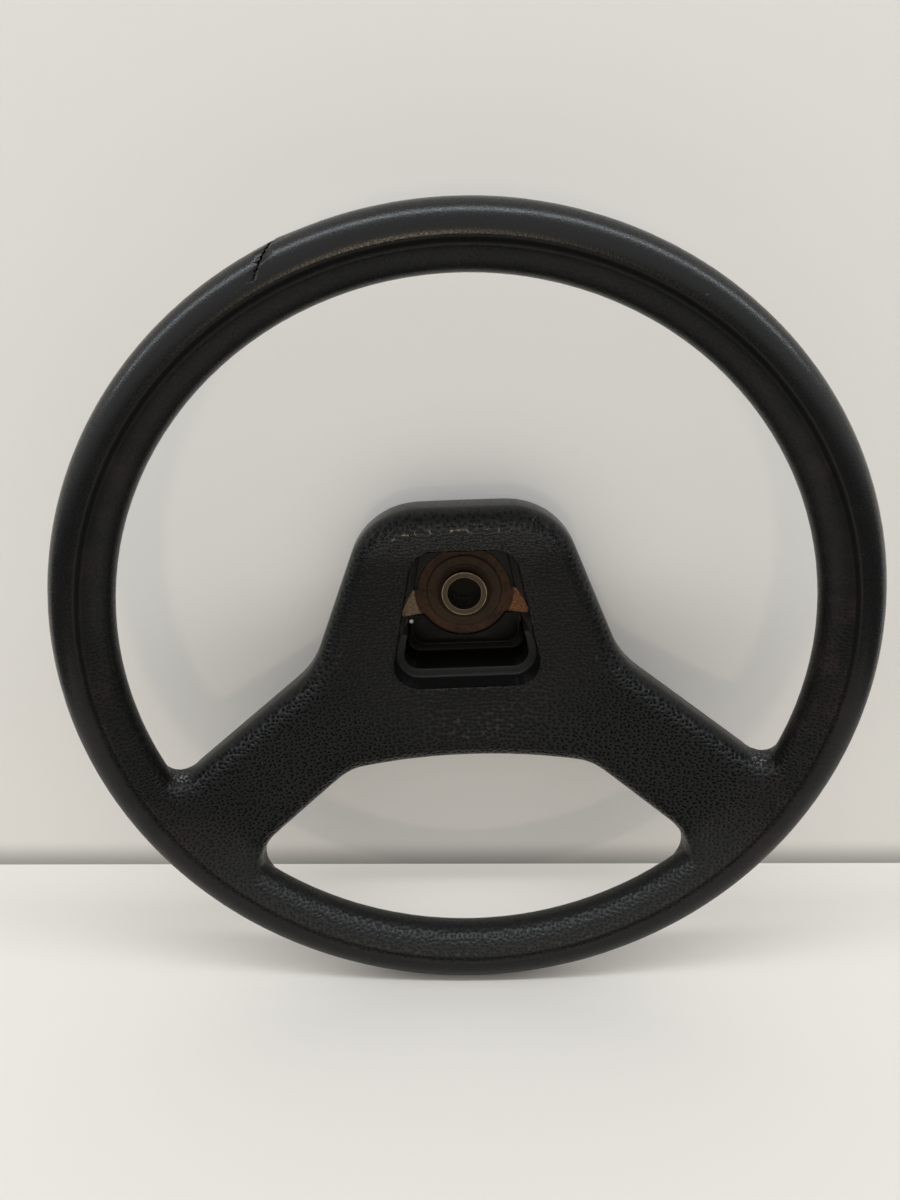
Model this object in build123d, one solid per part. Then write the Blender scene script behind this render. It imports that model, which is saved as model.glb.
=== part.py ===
"""Two-spoke car steering wheel: foam cover moulded on a welded steel frame, centre pad missing."""

import os
from math import atan2, cos, degrees, hypot, radians, sin, sqrt, tan

from build123d import *

# Millimetres. The driver sits on the -Y side and +Z is up. The origin is the middle of the face that
# the column nut pulls on, so the column leaves along +Y.

# Wheel and grip
wheel_outer_d = 380.0
rim_ahead = 66.0
grip_long_d = 28.8
grip_short_d = 24.8
grip_lean_deg = 26.0

# Seam that runs round the front of the grip
seam_inset = 15.7
seam_depth = 1.5
seam_round_r = 2.0
seam_lip_r = 1.5

# Dish of the hub and spokes
face_ahead = 25.0
hub_thickness = 27.0
spoke_end_thickness = 23.0
dish_start_r = 62.0
dish_blend_r = 90.0
dish_end_inset = 3.3
dish_end_sink = 0.2

# Hub outline, seen along the axis
hub_top_z = 52.0
hub_top_half = 47.4
hub_side_deg = 21.9
hub_bottom_z = -84.5
hub_top_corner_r = 37.0
hub_bottom_corner_r = 25.0

# Spokes
spoke_drop_deg = 32.4
spoke_width = 53.9
spoke_offset = -9.45
spoke_hub_r = 30.0
upper_flare_r = 9.5
lower_flare_r = 12.0
upper_flare_turn_deg = 84.0
lower_flare_turn_deg = 92.0
flare_sink = 2.6
front_edge_r = 11.0
back_edge_r = 4.0

# Recess for the missing centre pad
recess_top_z = 31.6
recess_bottom_z = -42.8
recess_top_half = 25.4
recess_bottom_half = 40.4
recess_corner_r = 13.0
recess_draft = 4.0
ledge_width = 4.6
ledge_depth = 14.0
ledge_top_z = -18.0
floor_depth = 28.0
shelf_edge_z = -30.2
shelf_inset = 11.1
shelf_corner_r = 8.0
pocket_depth = 37.0

# Back of the hub
box_wall = 12.0
box_back_wall = 3.0
box_edge_r = 3.0
collar_r = 38.0
collar_bore_r = 26.5
collar_past_seat = 17.0

# Steel rod in the grip
hoop_rod_d = 11.0

# Pressed spider
sheet = 3.0
disc_r = 28.0
disc_bend_r = 27.0
disc_behind_seat = 5.0
disc_window_r = 24.8
arm_root_top_z = 1.6
arm_width = 14.0
arm_elbow_x = 42.0
arm_end_offset = -14.0

# Turned boss
bore_r = 9.1
seat_ring_r = 12.0
seat_proud = 3.2
flange_inner_r = 15.1
flange_r = 20.0
flange_height = 1.2
flange_edge_r = 0.8
boss_r = 15.2
boss_length = 20.0
land_length = 8.0
spline_count = 24
spline_tip_r = 9.3
spline_root_r = 9.9
spline_width = 1.2

# Cancelling ring
cancel_gap = 0.3
cancel_r = 24.0
cancel_length = 4.0
cancel_lug_length = 4.0
cancel_lug_width = 6.0
cancel_lug_depth = 4.0

# Crack in the skin at the upper left of the grip
crack_angle_deg = 114.3
crack_facing_deg = 48.0
crack_length = 15.0
crack_mouth = 1.1
crack_bow = 1.0
crack_lean_deg = 16.0
crack_depth = 4.0

# How far a cutting shape runs past what it cuts
overrun = 30.0

# Shares of the dish thickness that count as its front and its back, and the slope that counts as none
front_share = 0.25
back_share = 0.75
no_slope = 0.01

# Places worked out from the sizes above
lean = radians(grip_lean_deg)
grip_half_long = grip_long_d / 2
grip_half_short = grip_short_d / 2
grip_reach = sqrt((grip_half_long * cos(lean)) ** 2 + (grip_half_short * sin(lean)) ** 2)
grip_r = wheel_outer_d / 2 - grip_reach
grip_inner_r = grip_r - grip_reach
seam_r = wheel_outer_d / 2 - seam_inset
rim_y = -rim_ahead
face_y = -face_ahead
ledge_y = face_y + ledge_depth
floor_y = face_y + floor_depth
pocket_y = face_y + pocket_depth
shelf_half = recess_bottom_half - shelf_inset
disc_front_y = disc_behind_seat
disc_back_y = disc_front_y + sheet
drop = radians(spoke_drop_deg)
upper_offset = spoke_offset + spoke_width / 2
lower_offset = spoke_offset - spoke_width / 2
dish_end_r = seam_r - dish_end_inset
past_rim = wheel_outer_d / 2 + overrun


def grip_front(r):
    """Y of the front of the plain grip section at a radius from the axis."""
    across = r - grip_r
    u = 1 / grip_half_long ** 2
    v = 1 / grip_half_short ** 2
    square = u * sin(lean) ** 2 + v * cos(lean) ** 2
    mixed = across * sin(lean) * cos(lean) * (v - u)
    rest = across ** 2 * (u * cos(lean) ** 2 + v * sin(lean) ** 2) - 1
    return rim_y + (-mixed - sqrt(mixed ** 2 - square * rest)) / square


dish_end_y = grip_front(dish_end_r) + dish_end_sink
dish_slope = (dish_end_y - face_y) / (dish_end_r - dish_start_r)


def dish_front(r):
    """Y of the front of the dish at a radius, with the bend left sharp."""
    return face_y + dish_slope * max(0.0, r - dish_start_r)


def dish_thickness(r):
    """Thickness of the dish along the axis: even over the hub, thinning toward the grip."""
    outward = max(0.0, r - dish_start_r) / (dish_end_r - dish_start_r)
    return hub_thickness + (spoke_end_thickness - hub_thickness) * outward


def along_spoke(distance, offset):
    """Plan point of the right spoke: distance outward along it, offset upward across it."""
    x = distance * cos(drop) + offset * sin(drop)
    z = -distance * sin(drop) + offset * cos(drop)
    return (x, z)


def turned(section):
    """Section drawn in radius and Y, turned all round the axis; the join lies on the left."""
    return Rot(0, 180, 0) * revolve(section, Axis.Y, 360)


def raised(outline, y_from, y_to):
    """Outline drawn in X and Z, raised between two places on the wheel axis."""
    return extrude(at_depth(outline, y_from), y_from - y_to)


def at_depth(outline, y):
    """Outline drawn in X and Z, laid at a place on the wheel axis."""
    return Plane.XZ.offset(-y) * outline


def rounded(points, radii):
    """Closed outline whose corners at the listed points are rounded."""
    outline = make_face(Polyline(*points, close=True))
    for place, radius in radii:
        corner = min(outline.vertices(), key=lambda v: hypot(v.X - place[0], v.Y - place[1]))
        outline = fillet(corner, radius)
    return outline


def grip():
    """Leaning oval grip with the seam pressed into its front."""
    oval = Pos(grip_r, rim_y) * Ellipse(grip_half_long, grip_half_short, rotation=-grip_lean_deg)
    seam_y = grip_front(seam_r) + seam_depth - seam_round_r
    section = oval - Pos(seam_r, seam_y) * Circle(seam_round_r)
    lips = [v for v in section.vertices() if abs(v.X - seam_r) < seam_round_r and v.Y < rim_y]
    return turned(fillet(lips, seam_lip_r))


def dish():
    """Dished body that hub and spokes are cut from."""
    radii = [0, dish_start_r, past_rim]
    front = [(r, dish_front(r)) for r in radii]
    back = [(r, dish_front(r) + dish_thickness(r)) for r in reversed(radii)]
    bends = [(front[1], dish_blend_r), (back[1], dish_blend_r)]
    return turned(rounded(front + back, bends))


def flare(offset, side, radius, turn_deg):
    """Corner where a spoke edge turns into the grip, and the end of its run-out."""
    turn = radians(turn_deg)
    middle_offset = offset + side * radius
    middle_distance = sqrt((grip_inner_r + flare_sink - radius) ** 2 - middle_offset ** 2)
    corner = middle_distance + radius * tan(turn / 2)
    run = overrun * 2
    return (corner, offset), (corner + run * cos(turn), offset + side * run * sin(turn))


def web_outline():
    """Right half of the hub with its spoke, in plan, run out past the grip."""
    side = radians(hub_side_deg)
    top_offset = hub_top_half * sin(drop) + hub_top_z * cos(drop)
    side_run = (top_offset - upper_offset) / cos(side + drop)
    top_corner = (hub_top_half, hub_top_z)
    side_foot = (hub_top_half + side_run * sin(side), hub_top_z - side_run * cos(side))
    bottom_corner = ((lower_offset - hub_bottom_z * cos(drop)) / sin(drop), hub_bottom_z)
    upper, upper_end = flare(upper_offset, 1, upper_flare_r, upper_flare_turn_deg)
    lower, lower_end = flare(lower_offset, -1, lower_flare_r, lower_flare_turn_deg)
    points = [
        (0, hub_top_z),
        top_corner,
        side_foot,
        along_spoke(*upper),
        along_spoke(*upper_end),
        along_spoke(past_rim, upper_end[1]),
        along_spoke(past_rim, lower_end[1]),
        along_spoke(*lower_end),
        along_spoke(*lower),
        bottom_corner,
        (0, hub_bottom_z),
    ]
    radii = [
        (top_corner, hub_top_corner_r),
        (side_foot, spoke_hub_r),
        (along_spoke(*upper), upper_flare_r),
        (along_spoke(*lower), lower_flare_r),
        (bottom_corner, hub_bottom_corner_r),
    ]
    return rounded(points, radii)


def edges_round_web(web, front):
    """Edges of the web's outline on its front or its back, without those at its far end."""
    picked = ShapeList()
    for wall in web.faces():
        at = wall.center()
        leans = abs(wall.normal_at(at).Y) > no_slope
        in_middle_plane = at.X < no_slope
        at_far_end = hypot(at.X, at.Z) > grip_r + overrun / 2
        if leans or in_middle_plane or at_far_end:
            continue
        for edge in wall.edges().filter_by(Axis.Y, reverse=True):
            mid = edge.center()
            r = hypot(mid.X, mid.Z)
            depth = (mid.Y - dish_front(r)) / dish_thickness(r)
            if (front and depth < front_share) or (not front and depth > back_share):
                picked.append(edge)
    return picked


def web():
    """Hub and both spokes with rounded edges, ending under the inner shoulder of the grip."""
    half = raised(web_outline(), dish_front(past_rim) - overrun, overrun) & dish()
    half = fillet(edges_round_web(half, True), front_edge_r)
    half = fillet(edges_round_web(half, False), back_edge_r)
    half = half & raised(Circle(dish_end_r), dish_front(past_rim) - overrun, overrun)
    return half + mirror(half, Plane.YZ)


def recess_outline():
    """Trapezoid mouth of the centre recess."""
    left_top = (-recess_top_half, recess_top_z)
    right_top = (recess_top_half, recess_top_z)
    right_bottom = (recess_bottom_half, recess_bottom_z)
    left_bottom = (-recess_bottom_half, recess_bottom_z)
    corners = [left_top, right_top, right_bottom, left_bottom]
    return rounded(corners, [(corner, recess_corner_r) for corner in corners])


def plan_box(x_half, z_from, z_to):
    """Rectangle in plan, centred left to right."""
    return Pos(0, (z_from + z_to) / 2) * Rectangle(2 * x_half, z_to - z_from)


def recess():
    """Space of the recess: mouth, ledge, floor and the pocket below the floor's edge."""
    mouth = recess_outline()
    inner = offset(mouth, -ledge_width)
    above_ledge = mouth & plan_box(recess_bottom_half, ledge_top_z, recess_top_z)
    below_ledge = inner & plan_box(recess_bottom_half, recess_bottom_z, ledge_top_z)
    shelf = plan_box(shelf_half, shelf_edge_z, recess_top_z)
    shelf = fillet(shelf.vertices().sort_by(Axis.Y)[:2], shelf_corner_r)
    lower = plan_box(recess_bottom_half, recess_bottom_z, ledge_top_z) & mouth
    drafted = loft([at_depth(mouth, face_y), at_depth(offset(mouth, -recess_draft), floor_y)])
    space = raised(mouth, face_y - overrun, face_y) + raised(lower, face_y, ledge_y)
    space += drafted & raised(above_ledge, face_y, floor_y)
    space += raised(below_ledge, ledge_y, floor_y)
    return space + raised(below_ledge - shelf, floor_y, pocket_y)


def steel_window():
    """Opening that shows the disc through the floor and the roots of its arms in notches of the side walls."""
    arms = plan_box(recess_bottom_half, arm_root_top_z - arm_width, arm_root_top_z) & recess_outline()
    return raised(Circle(disc_window_r), floor_y, disc_front_y) + raised(arms, face_y, disc_front_y)


def hub_back():
    """Box behind the recess and the round collar that clears the boss."""
    box = raised(offset(recess_outline(), box_wall), face_y + hub_thickness / 2, pocket_y + box_back_wall)
    box = fillet(box.faces().sort_by(Axis.Y)[-1].edges(), box_edge_r)
    collar = raised(Circle(collar_r), face_y + hub_thickness / 2, collar_past_seat)
    collar = fillet(collar.faces().sort_by(Axis.Y)[-1].edges(), box_edge_r)
    return box + collar - raised(Circle(collar_bore_r), disc_back_y, collar_past_seat + overrun)


def crack():
    """Thin bowed wedge that opens the skin from the outer side of the grip toward its front."""
    half = crack_length / 2
    left = ThreePointArc((-crack_mouth / 2, half), (-crack_mouth / 4 - crack_bow, 0), (0, -half))
    right = ThreePointArc((0, -half), (crack_mouth / 4 - crack_bow, 0), (crack_mouth / 2, half))
    slit = make_face([left, right, Line((crack_mouth / 2, half), (-crack_mouth / 2, half))])
    facing = radians(crack_facing_deg)
    normal = Vector(cos(facing), -sin(facing), 0)
    across = Vector(sin(facing), cos(facing), 0)
    skin = Vector(grip_r, rim_y, 0) + normal * grip_half_short
    place = Plane(skin, x_dir=normal.cross(across) * -1, z_dir=normal)
    wedge = extrude(place * (Rot(0, 0, crack_lean_deg) * slit), crack_depth, both=True)
    return Rot(0, -crack_angle_deg, 0) * wedge


def rim_hoop():
    """Steel rod ring in the middle of the grip."""
    return turned(Pos(grip_r, rim_y) * Circle(hoop_rod_d / 2))


def arm_outline():
    """Right arm in plan: level root at the disc, round elbow and the run to the hoop."""
    middle_z = arm_root_top_z - arm_width / 2
    elbow = Vector(arm_elbow_x, middle_z)
    end_distance = sqrt(grip_r ** 2 - arm_end_offset ** 2)
    end = Vector(*along_spoke(end_distance, arm_end_offset))
    run = end - elbow
    root = Pos(arm_elbow_x / 2, middle_z) * Rectangle(arm_elbow_x, arm_width)
    turn = degrees(atan2(run.Y, run.X))
    middle = elbow + run / 2
    outer = Pos(middle.X, middle.Y) * Rot(0, 0, turn) * Rectangle(run.length, arm_width)
    return root + Pos(elbow.X, elbow.Y) * Circle(arm_width / 2) + outer


def arm_spider():
    """Pressed disc with two arms that rise on a cone to the hoop and are coped to its rod."""
    end_y = rim_y - sheet / 2
    front = [(0, disc_front_y), (disc_bend_r, disc_front_y), (grip_r, end_y)]
    back = [(r, y + sheet) for r, y in reversed(front)]
    pressing = turned(make_face(Polyline(*(front + back), close=True)))
    arm = arm_outline()
    outline = Circle(disc_r) + arm + mirror(arm, Plane.YZ)
    spider = pressing & raised(outline, rim_y - overrun, overrun)
    spider -= raised(Circle(boss_r), rim_y - overrun, overrun)
    return spider - rim_hoop()


def hub_boss():
    """Turned boss with the nut seat, the raised ring round it, a plain land and a splined bore."""
    flange_front_y = disc_front_y - flange_height
    points = [
        (bore_r, 0),
        (seat_ring_r, 0),
        (seat_ring_r, seat_proud),
        (flange_inner_r, seat_proud),
        (flange_inner_r, flange_front_y),
        (flange_r, flange_front_y),
        (flange_r, disc_front_y),
        (boss_r, disc_front_y),
        (boss_r, boss_length),
        (spline_tip_r, boss_length),
        (spline_tip_r, land_length),
        (bore_r, land_length),
    ]
    boss = turned(rounded(points, [(points[5], flange_edge_r)]))
    groove = Pos(spline_root_r / 2, 0) * Rectangle(spline_root_r, spline_width)
    grooves = PolarLocations(0, spline_count) * groove
    return boss - raised(Sketch() + grooves, land_length, boss_length)


def cancel_ring():
    """Plastic ring on the back of the disc with two lugs that return the indicator stalk."""
    ring_back_y = disc_back_y + cancel_length
    outline = Circle(cancel_r) - Circle(boss_r + cancel_gap)
    lug_strip = Rectangle(2 * cancel_r, cancel_lug_width)
    lugs = (lug_strip & Circle(cancel_r)) - Circle(cancel_r - cancel_lug_depth)
    return raised(outline, disc_back_y, ring_back_y) + raised(lugs, ring_back_y, ring_back_y + cancel_lug_length)


def moulded_cover(steel):
    """Foam body round the steel, open at the recess, at the disc window and behind the boss."""
    body = grip() + web() + hub_back()
    body -= recess()
    body -= steel_window()
    body -= raised(Circle(boss_r), floor_y, collar_past_seat)
    body -= crack()
    for piece in steel:
        body -= piece
    return body


hoop = rim_hoop()
spider = arm_spider()
boss = hub_boss()
nodes = {
    "moulded_cover": moulded_cover([hoop, spider, boss]),
    "rim_hoop": hoop,
    "arm_spider": spider,
    "hub_boss": boss,
    "cancel_ring": cancel_ring(),
}
os.makedirs("parts", exist_ok=True)
for name, shape in nodes.items():
    export_step(shape, f"parts/{name}.step")
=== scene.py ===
# %% [markdown]
# # Car steering wheel with its centre pad missing
# The real wheel is one skin of black foam moulded round a steel hoop and a pressed steel spider, with a
# turned boss welded in the middle. It stands on its rim and leans its boss against a pale wall. The CAD part
# gives every shape and place. This lesson gives the foam its soft edges, its crack and its grain, gives the
# steel its rust, and sets up the stage, the lamps and the camera.

# %% Load the frame
import math

import bpy
import numpy as np
from mathutils import Matrix, Vector


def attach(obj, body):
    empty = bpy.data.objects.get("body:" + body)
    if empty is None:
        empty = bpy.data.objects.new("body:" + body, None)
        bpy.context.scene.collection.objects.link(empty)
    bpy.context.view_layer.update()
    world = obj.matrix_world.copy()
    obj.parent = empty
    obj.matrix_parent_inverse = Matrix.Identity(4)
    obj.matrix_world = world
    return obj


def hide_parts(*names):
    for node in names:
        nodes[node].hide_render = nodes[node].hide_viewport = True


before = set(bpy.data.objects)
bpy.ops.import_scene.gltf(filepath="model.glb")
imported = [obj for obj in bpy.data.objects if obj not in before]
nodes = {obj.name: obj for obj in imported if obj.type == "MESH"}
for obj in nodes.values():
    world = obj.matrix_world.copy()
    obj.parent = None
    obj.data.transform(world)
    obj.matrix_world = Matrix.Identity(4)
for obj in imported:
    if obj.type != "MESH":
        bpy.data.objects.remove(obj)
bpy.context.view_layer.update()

print("nodes:", {name: len(part.data.polygons) for name, part in nodes.items()})

# %% [markdown]
# Every operator works on what is selected, and the loaded nodes are selected. So each step starts by
# clearing the selection and picking one object, as a click in the window would.

# %% Pick one object and use a modifier on it
def pick(piece):
    """Makes one object the only selected and the active one."""
    bpy.ops.object.select_all(action="DESELECT")
    piece.select_set(True)
    bpy.context.view_layer.objects.active = piece
    return piece


def apply_modifier(piece, kind, **settings):
    """Adds a modifier, sets it up and applies it."""
    pick(piece)
    bpy.ops.object.modifier_add(type=kind)
    modifier = piece.modifiers[-1]
    for name, value in settings.items():
        setattr(modifier, name, value)
    bpy.ops.object.modifier_apply(modifier=modifier.name)


def triangles(piece):
    """Number of triangles of a mesh."""
    return sum(len(face.vertices) - 2 for face in piece.data.polygons)


# %% [markdown]
# ## The foam cover
# On the real wheel the cover is one moulding: grip, spokes, hub and recess flow into one another, and no edge
# is sharp, because foam skin can't fill a sharp corner of a mould. The CAD solid has the form, with crisp
# edges in the recess. Those could be bevelled one by one, but a copy that is remeshed with small voxels and
# smoothed rounds all of them at once, as the mould does.

# %% Copy the cover and remesh it
merge_distance = 1e-6
cover_voxel = 0.0007


def copy_of_node(name, new_name):
    """A copy of a CAD node's mesh with its loose triangles joined."""
    pick(nodes[name])
    bpy.ops.object.duplicate()
    piece = bpy.context.active_object
    piece.name = new_name
    bpy.ops.object.mode_set(mode="EDIT")
    bpy.ops.mesh.select_all(action="SELECT")
    bpy.ops.mesh.remove_doubles(threshold=merge_distance)
    bpy.ops.object.mode_set(mode="OBJECT")
    return piece


cover = copy_of_node("moulded_cover", "cover_skin")
apply_modifier(cover, "REMESH", mode="VOXEL", voxel_size=cover_voxel)
print("cover after the remesh:", triangles(cover), "triangles")

# %% [markdown]
# The edges of the recess are the crispest of the wheel, so they get one round of smoothing and the outside
# gets more. Where a spoke's upper edge runs into the grip the foam flows in a soft hollow: those corners get
# many rounds, in balls that shrink. A mesh this fine would carry triangles for nothing in plain places, so it
# is thinned at the end. Only the seam keeps all its points.

# %% Smooth and thin the cover
smooth_factor = 0.5
all_rounds, outer_rounds, corner_rounds = 1, 4, 90
recess_half, recess_low_z, recess_high_z = 0.043, -0.046, 0.035
corner_x, corner_z = 0.1465, -0.0688
corner_ys = (-0.059, -0.068)
corner_reaches = (0.014, 0.011, 0.008)
rim_r, rim_y = 0.190, -0.066
seam_r, seam_band = 0.1742, 0.0055
cover_triangles = 190000


def points_of(piece):
    """Places of the vertices as an array."""
    places = np.empty(3 * len(piece.data.vertices))
    piece.data.vertices.foreach_get("co", places)
    return places.reshape(-1, 3)


def group_of(piece, name, chosen):
    """A vertex group of the chosen vertices."""
    group = piece.vertex_groups.new(name=name)
    group.add(np.flatnonzero(chosen).tolist(), 1.0, "REPLACE")
    return group.name


def distance_to(points, place):
    """Distance of each point from a place."""
    return np.linalg.norm(points - np.array(place), axis=1)


def smooth_chosen(name, chosen, rounds):
    """Smooths the chosen points of the cover."""
    apply_modifier(cover, "SMOOTH", factor=smooth_factor, iterations=rounds,
                   vertex_group=group_of(cover, name, chosen))


x, y, z = points_of(cover).T
in_recess = (np.abs(x) < recess_half) & (z > recess_low_z) & (z < recess_high_z)
near_seam = (np.abs(np.hypot(x, z) - seam_r) < seam_band) & (y < rim_y)
apply_modifier(cover, "SMOOTH", factor=smooth_factor, iterations=all_rounds)
smooth_chosen("outside", ~in_recess, outer_rounds)
corners = [(side * corner_x, deep, corner_z) for side in (-1, 1) for deep in corner_ys]
for reach in corner_reaches:
    points = points_of(cover)
    at_corner = np.any([distance_to(points, corner) < reach for corner in corners], axis=0)
    smooth_chosen("corner", at_corner, corner_rounds)
apply_modifier(cover, "DECIMATE", ratio=cover_triangles / triangles(cover),
               vertex_group=group_of(cover, "thinned", ~near_seam))
print("cover after thinning:", triangles(cover), "triangles")

# %% [markdown]
# ## The grip's section
# The grip is a body of revolution with a known section: an oval that leans, with a soft seam pressed into its
# front. The functions of this cell say where a point lies in that section. Later steps use them for the
# shape, for the shading and for the dirt and painted shade in the seam.

# %% Describe the section
oval_long, oval_short = 0.0144, 0.0124
oval_lean = math.radians(26)
seam_depth = 0.0008
seam_out, seam_in = 0.0018, 0.0024
cos_lean, sin_lean = math.cos(oval_lean), math.sin(oval_lean)
grip_r = rim_r - math.hypot(oval_long * cos_lean, oval_short * sin_lean)


def fade(near, far, value):
    """Smooth step that is 0 at near and 1 at far."""
    share = np.clip((value - near) / (far - near), 0, 1)
    return share * share * (3 - 2 * share)


def seam_share(radius, outer_width, inner_width):
    """1 on the line of the seam, falling to 0 over one width on its outer side and one on its inner side."""
    off = np.where(radius > seam_r, (radius - seam_r) / outer_width, (seam_r - radius) / inner_width)
    return 1 - fade(0.0, 1.0, off)


def seam_sink(radius):
    """Depth of the seam at a radius from the axis."""
    return seam_depth * seam_share(radius, seam_out, seam_in)


def on_oval(points):
    """Radius, both coordinates along the oval's axes, and size of the oval through each point."""
    radius = np.hypot(points[:, 0], points[:, 2])
    out, back = radius - grip_r, points[:, 1] - rim_y
    along, across = out * cos_lean - back * sin_lean, out * sin_lean + back * cos_lean
    return radius, along, across, np.hypot(along / oval_long, across / oval_short)


# %% [markdown]
# The remesh leaves faint steps, which the long highlights of the grip would show. More smoothing would wash
# out the seam with them. So the points that lie close to the section are put exactly on it.

# %% Lay the grip's points on the section
sure_reach, snap_reach, seam_reach = 0.0003, 0.0007, 0.0014


def move_points(piece, points):
    """Puts the vertices at new places."""
    piece.data.vertices.foreach_set("co", points.ravel())
    piece.data.update()


points = points_of(cover)
radius, along, across, scale = on_oval(points)
wanted = 1 - seam_sink(radius) * (across < 0) / oval_short
off = np.abs(scale - wanted) * oval_short
near_seam = (np.abs(radius - seam_r) < seam_band) & (across < 0)
share = np.where(near_seam, off < seam_reach, 1 - fade(sure_reach, snap_reach, off))
factor = 1 + share * (wanted / scale - 1)
new_radius = grip_r + (radius - grip_r) * factor
points[:, 1] = rim_y + (points[:, 1] - rim_y) * factor
points[:, [0, 2]] *= (new_radius / radius)[:, None]
move_points(cover, points)
print("points laid on the section:", int((share > 0).sum()), "of", len(points))

# %% [markdown]
# ## The crack
# The skin has split across the grip at the upper left: a gap that is widest at the outer side and runs out to
# a hair toward the front. A dark line painted on the skin would look flat from the side, so a ragged wedge is
# cut out of the cover. The wedge is a block whose one end is pinched, bent a little and roughened by waves.

# %% Make the wedge
crack_mouth = 0.0024
crack_length = 0.0215
crack_deep = 0.0060
crack_bow = 0.0011
crack_cuts = 24
tip_share, tip_taper = 0.14, 1.2
ragged_waves = ((0.22, 2600, 0), (0.16, 4700, 1))
broad_wander, fine_wander = (0.00022, 1900, 0), (0.00014, 3900, 2)


def wave(place, size, rate, start):
    """One sine wave along the crack."""
    return size * math.sin(rate * place + start)


bpy.ops.object.select_all(action="DESELECT")
bpy.ops.mesh.primitive_cube_add(size=1)
wedge = bpy.context.active_object
wedge.name = "crack_wedge"
wedge.scale = (crack_mouth, crack_length, crack_deep)
bpy.ops.object.transform_apply(scale=True)
bpy.ops.object.mode_set(mode="EDIT")
bpy.ops.mesh.select_all(action="SELECT")
bpy.ops.mesh.subdivide(number_cuts=crack_cuts)
bpy.ops.object.mode_set(mode="OBJECT")
for vertex in wedge.data.vertices:
    place = vertex.co.y
    open_share = max(0.0, place / crack_length + 0.5)
    ragged = sum(wave(place, *row) for row in ragged_waves)
    vertex.co.x *= (tip_share + (1 - tip_share) * open_share ** tip_taper) * (1 + ragged)
    vertex.co.x += crack_bow * math.sin(math.pi * open_share) + wave(place, *broad_wander)
    vertex.co.x += wave(place, *fine_wander)
print("wedge:", triangles(wedge), "triangles")

# %% [markdown]
# The wedge is turned so that its length follows the split over the grip's shoulder and its depth points into
# the foam. The exact Boolean then cuts it out and closes the walls of the gap.

# %% Cut the crack
crack_middle = Vector((-0.0741, -0.0738, 0.1708))
crack_tip_to_mouth = Vector((0.40, 0.476, 0.78))
crack_outward = Vector((-0.24, -0.70, 0.67)).normalized()

lengthwise = crack_tip_to_mouth - crack_outward * crack_tip_to_mouth.dot(crack_outward)
crack_along = lengthwise.normalized()
crack_aside = crack_along.cross(crack_outward)
crack_axes = (crack_aside, crack_along, crack_outward)
wedge.matrix_world = Matrix.Translation(crack_middle) @ Matrix(crack_axes).transposed().to_4x4()
pick(wedge)
bpy.ops.object.transform_apply(location=True, rotation=True, scale=True)
apply_modifier(cover, "BOOLEAN", operation="DIFFERENCE", solver="EXACT", object=wedge)
bpy.data.objects.remove(wedge)
print("cover with its crack:", triangles(cover), "triangles")

# %% [markdown]
# A torn skin curls up a little beside the split. The points near the gap are lifted along their normals, most
# at the edge of the gap and not at all 4 mm away. With that the shape is done: the cover rides on the wheel
# and stands for the CAD's own cover.

# %% Curl the lips of the crack
lip_lift, lip_reach = 0.00035, 0.004
lip_facing, lip_depth = 0.25, 0.008


def normals_of(piece):
    """Normals of the vertices as an array."""
    normals = np.empty(3 * len(piece.data.vertices))
    piece.data.vertex_normals.foreach_get("vector", normals)
    return normals.reshape(-1, 3)


points = points_of(cover)
normals = normals_of(cover)
aside, lengthwise, outward = np.array(crack_axes) @ (points - np.array(crack_middle)).T
beside_gap = 1 - fade(0.0, lip_reach, np.abs(aside - crack_bow))
within = (np.abs(lengthwise) < crack_length / 2) & (np.abs(outward) < lip_depth)
outer_skin = normals @ np.array(crack_outward) > lip_facing
opened = fade(-crack_length / 2, crack_length / 4, lengthwise)
lift = lip_lift * opened * beside_gap * within * outer_skin
move_points(cover, points + normals * lift[:, None])
pick(cover)
bpy.ops.object.shade_smooth()
print("points lifted:", int((lift > 0).sum()))
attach(cover, "root")
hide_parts("moulded_cover")

# %% [markdown]
# The shading of a mesh goes from vertex to vertex, and a long highlight shows every one of them. On the grip
# the true normal follows from the section, so each vertex that lies on it gets that normal.

# %% Shade the grip by its section
slope_step = 0.0001
on_section = 0.00002
least_agreement = 0.9

points = points_of(cover)
radius, along, across, scale = on_oval(points)
front = across < 0
wanted = 1 - seam_sink(radius) * front / oval_short
sink_change = seam_sink(radius + slope_step) - seam_sink(radius - slope_step)
slope = sink_change / (2 * slope_step) * front / oval_short
pull_along, pull_across = along / oval_long ** 2, across / oval_short ** 2
outward = pull_along * cos_lean + pull_across * sin_lean + wanted * slope
backward = pull_across * cos_lean - pull_along * sin_lean
sideways, upward = outward * points[:, 0] / radius, outward * points[:, 2] / radius
section_normals = np.stack([sideways, backward, upward], 1)
section_normals /= np.linalg.norm(section_normals, axis=1)[:, None]
agree = (section_normals * normals_of(cover)).sum(1) > least_agreement
known = (np.abs(scale - wanted) * oval_short < on_section) & agree
section_normals[~known] = 0
cover.data.normals_split_custom_set_from_vertices(section_normals.tolist())
print("vertices shaded by the section:", int(known.sum()))

# %% [markdown]
# ## Where the skin differs
# The skin isn't the same all over. Hands have polished the outer half of the grip, most at the top, and
# browned its sides, and the seam is painted darker, as dirt and as painted shade in its crease. A painted
# picture could say where, but it would have to be unwrapped first. Regions this broad can be written on the
# mesh instead, as one number per vertex, which the material reads.

# %% Wear on the grip
least_radius = 1e-6
polish_run = 0.002
dirt_and_shade_out, dirt_and_shade_in = 0.0020, 0.0026
lower_part, upper_part = (0.35, -0.45), (-0.45, 0.20)
low_dirt_and_shade_loss = 0.35
low_shine = 0.25
grip_begins = (0.155, 0.165)
hands_below_axis, hands_end = 5, (25, 60)


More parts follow.
